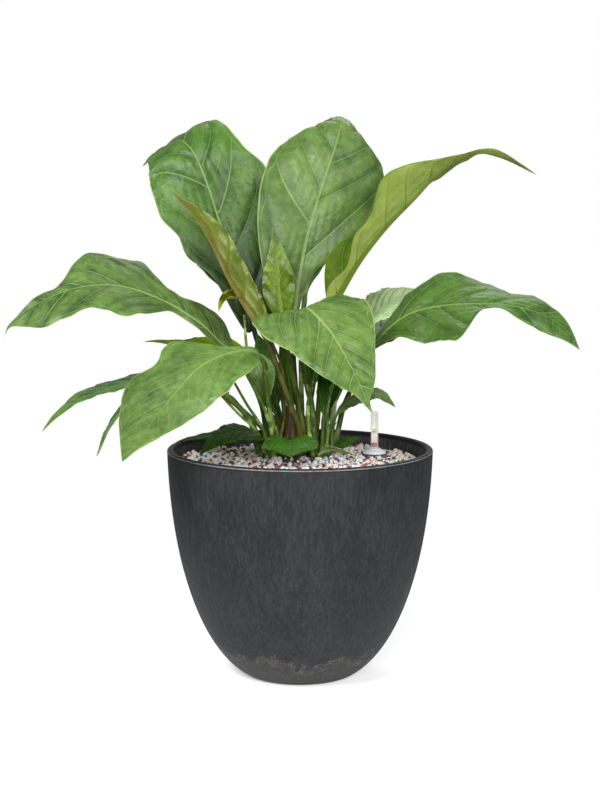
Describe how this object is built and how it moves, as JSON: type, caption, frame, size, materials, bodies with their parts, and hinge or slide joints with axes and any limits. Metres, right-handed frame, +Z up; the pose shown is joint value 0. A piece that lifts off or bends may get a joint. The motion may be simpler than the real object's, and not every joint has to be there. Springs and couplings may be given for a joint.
{
  "type": "potted anthurium",
  "caption": "Leafy anthurium with long arching leaves in a dark tapering pot of mineral granulate, with a sliding-float water gauge.",
  "frame": {"origin": "centre of the pot's flat underside, on the pot's axis", "axes": "+Z up along the pot's axis, -Y towards the front, where the big drooping leaf hangs, +X to the right seen from the front"},
  "size_m": [0.685, 0.482, 0.6983],
  "materials": {
    "pot": "matt charcoal stone-filled composite with smoky streaks, smoother at the rim",
    "granulate": "rough mineral granules in cream, maroon brown and pale blue-white",
    "soil": "dark fibrous root ball",
    "crown": "brown-green stock with dry sheaths",
    "leaf": "semi-gloss green leaf with pale sunken veins",
    "leaf_dark": "semi-gloss dark green leaf",
    "leaf_new": "semi-gloss yellow-green leaf with a pale underside",
    "leaf_young": "glossy chartreuse young leaf",
    "leaf_bronze": "glossy olive-bronze young leaf",
    "clear_plastic": "clear moulded plastic",
    "dark_plastic": "dark moulded plastic",
    "white_plastic": "plain white moulded plastic",
    "red_plastic": "plain red moulded plastic"
  },
  "bodies": {
    "planter": {"pot": "pot", "granulate": "granulate", "root_ball": "soil", "crown_left": "crown", "crown_right": "crown", "crown_back": "crown", "gauge_sleeve": "white_plastic", "gauge_ring": "dark_plastic", "gauge_collar": "clear_plastic", "gauge_window": "clear_plastic", "leaf_top_centre": "leaf", "leaf_top_left": "leaf", "leaf_high_right": "leaf_new", "leaf_right": "leaf", "leaf_front": "leaf", "leaf_left": "leaf", "leaf_front_left": "leaf", "leaf_far_left": "leaf", "leaf_left_sliver": "leaf", "leaf_middle_left": "leaf_new", "leaf_low_left": "leaf_dark", "leaf_rim_left": "leaf_dark", "leaf_crown_front": "leaf_dark", "leaf_low_right": "leaf_dark", "leaf_low_right_pale": "leaf_new", "leaf_middle_right": "leaf_dark", "leaf_behind_right": "leaf_new", "leaf_inner_right": "leaf_dark", "leaf_inner_left": "leaf_dark", "leaf_back_high": "leaf", "leaf_back_left": "leaf", "leaf_back_low": "leaf", "leaf_back_low_left": "leaf", "leaf_back_right": "leaf", "young_leaf_bronze": "leaf_bronze", "young_leaf_upright": "leaf_young", "young_leaf_curled": "leaf_young"},
    "float": {"gauge_float": "white_plastic", "gauge_rod": "white_plastic", "gauge_marker": "red_plastic"}
  },
  "joints": [
    {"name": "float_rise", "type": "slide", "parent": "planter", "child": "float", "axis": [0, 0, 1], "range_m": [0, 0.04]}
  ]
}
